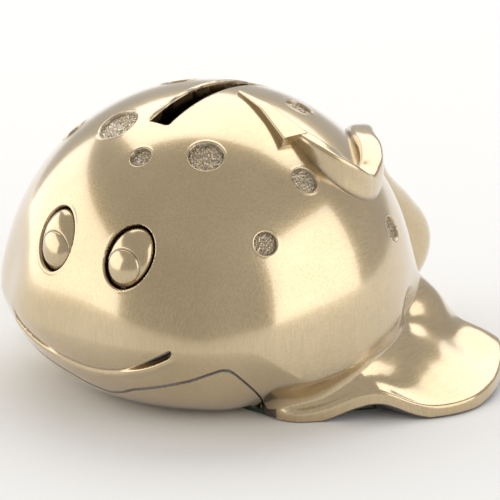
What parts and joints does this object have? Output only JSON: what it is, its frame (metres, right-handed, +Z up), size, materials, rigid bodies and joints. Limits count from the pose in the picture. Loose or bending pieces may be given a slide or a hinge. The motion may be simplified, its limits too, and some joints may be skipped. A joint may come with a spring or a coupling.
{
  "type": "still bank",
  "caption": "Cast still bank in the form of a rounded cartoon sea animal, with a coin slot on top and a rubber stopper in the base.",
  "frame": {"origin": "on the table, straight below the centre of the round body", "axes": "+X towards the head, +Y to the animal's left, +Z up"},
  "size_m": [0.1136, 0.1166, 0.0664],
  "materials": {
    "body_casting": "cast, plated and brushed antique brass, dark patina in the recesses",
    "belly_casting": "cast, plated and brushed antique brass, dark patina in the recesses",
    "tail_casting": "cast, plated and brushed antique brass, dark patina in the recesses",
    "eye_insert": "brushed antique brass",
    "stopper_rubber": "matte moulded rubber",
    "base_felt": "pressed felt",
    "screw_steel": "zinc plated"
  },
  "bodies": {
    "root": {"body_shell": "body_casting", "belly_shell": "belly_casting", "tail": "tail_casting", "eye_left": "eye_insert", "eye_right": "eye_insert", "base_felt": "base_felt", "belly_screw_front": "screw_steel", "belly_screw_left": "screw_steel", "belly_screw_right": "screw_steel", "tail_screw_upper": "screw_steel", "tail_screw_lower": "screw_steel"},
    "stopper": {"coin_stopper": "stopper_rubber"}
  },
  "joints": [
    {"name": "stopper_pull", "type": "slide", "parent": "root", "child": "stopper", "axis": [0, 0, -1], "range_m": [0, 0.025]}
  ]
}
